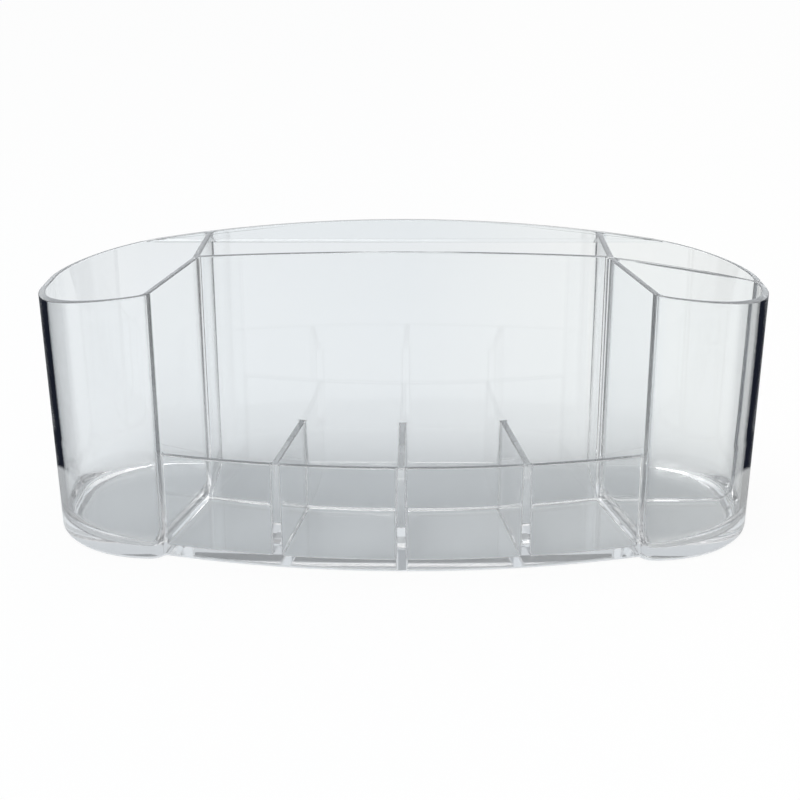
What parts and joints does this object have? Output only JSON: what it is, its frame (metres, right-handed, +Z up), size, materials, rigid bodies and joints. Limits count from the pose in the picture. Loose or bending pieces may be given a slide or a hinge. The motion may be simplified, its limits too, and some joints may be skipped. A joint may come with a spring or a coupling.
{
  "type": "plastic organizer",
  "caption": "Open-topped clear plastic vanity organizer with round end compartments, a long rear compartment and low front bays.",
  "frame": {"origin": "middle of the footprint, on the surface that the organizer stands on", "axes": "+X to the organizer's right seen from its low front, +Y to its back wall, +Z up"},
  "size_m": [0.3016, 0.112, 0.1194],
  "materials": {
    "floor_plate": "polished, water clear",
    "back_wall": "polished, water clear",
    "left_end_wall": "polished, water clear",
    "right_end_wall": "polished, water clear",
    "left_divider": "polished, water clear",
    "right_divider": "polished, water clear",
    "rear_partition": "polished, water clear",
    "pocket_divider": "polished, water clear",
    "front_wall": "polished, water clear",
    "left_bay_divider": "polished, water clear",
    "middle_bay_divider": "polished, water clear",
    "right_bay_divider": "polished, water clear"
  },
  "bodies": {
    "root": {"floor_plate": "floor_plate", "back_wall": "back_wall", "left_end_wall": "left_end_wall", "right_end_wall": "right_end_wall", "left_divider": "left_divider", "right_divider": "right_divider", "rear_partition": "rear_partition", "pocket_divider": "pocket_divider", "front_wall": "front_wall", "left_bay_divider": "left_bay_divider", "middle_bay_divider": "middle_bay_divider", "right_bay_divider": "right_bay_divider"}
  },
  "joints": []
}
